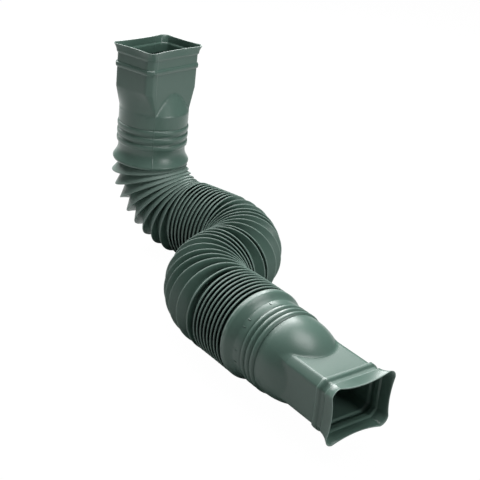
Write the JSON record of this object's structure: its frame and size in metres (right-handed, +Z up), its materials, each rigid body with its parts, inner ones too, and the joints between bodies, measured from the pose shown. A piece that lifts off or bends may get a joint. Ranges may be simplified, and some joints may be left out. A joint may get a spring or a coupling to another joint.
{
  "type": "flexible downspout extension",
  "caption": "Flexible drain extension for a downspout: a rectangular socket at each end and a folding bellows between, bent from an upright inlet to an outlet lying on the ground.",
  "frame": {"origin": "under the middle of the part's bounding box, on the ground that it rests on", "axes": "+Z up from the ground, within 1.4 degrees of the upper socket's axis, out of its mouth; X along the wide sides of the upper socket; the outlet points mostly towards -Y"},
  "size_m": [0.3786, 0.6566, 0.3294],
  "materials": {
    "green_plastic": "satin dark grey-green, blow moulded"
  },
  "bodies": {
    "root": {"downspout_extension": "green_plastic"}
  },
  "joints": []
}
